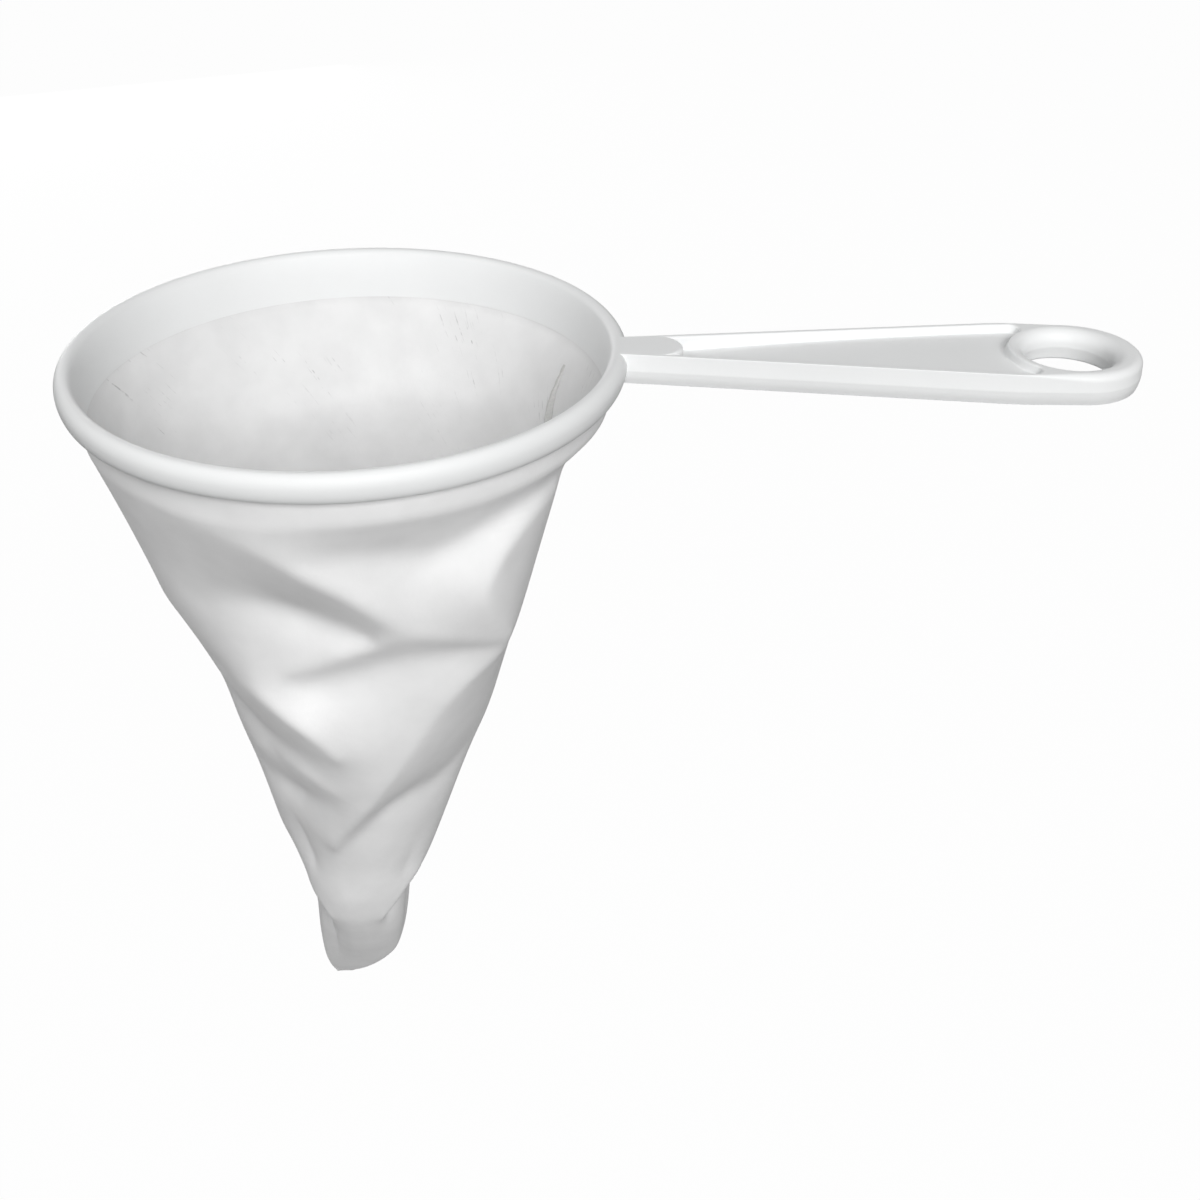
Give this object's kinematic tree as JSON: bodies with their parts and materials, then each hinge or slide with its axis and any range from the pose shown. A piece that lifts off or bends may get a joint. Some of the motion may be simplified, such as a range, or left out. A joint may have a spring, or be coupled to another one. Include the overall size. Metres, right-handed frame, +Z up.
{
  "type": "cloth coffee strainer",
  "caption": "White plastic hoop with a channel handle and hanging eye; a push-in collar clamps a conical flannel bag that filters coffee poured in at the mouth.",
  "frame": {"origin": "on the hoop's axis, level with the hoop's underside, which is the face that sits on a pot's rim or a ring stand", "axes": "+X along the handle towards the hanging eye, +Z up out of the bag's mouth, -Y towards the viewer of the picture"},
  "size_m": [0.2022, 0.106, 0.188],
  "materials": {
    "moulded_white": "satin moulded polypropylene",
    "flannel": "napped cotton flannel",
    "overlock_thread": "spun cotton overlock thread"
  },
  "bodies": {
    "hoop": {"hoop_handle": "moulded_white"},
    "collar": {"clamp_collar": "moulded_white"},
    "bag": {"filter_bag": "flannel", "seam_overlock": "overlock_thread"}
  },
  "joints": [
    {"name": "collar_lift", "type": "slide", "parent": "hoop", "child": "collar", "axis": [0, 0, 1], "range_m": [0, 0.19]},
    {"name": "bag_slip", "type": "slide", "parent": "collar", "child": "bag", "axis": [0, 0, -1], "range_m": [0, 0.0105]}
  ]
}
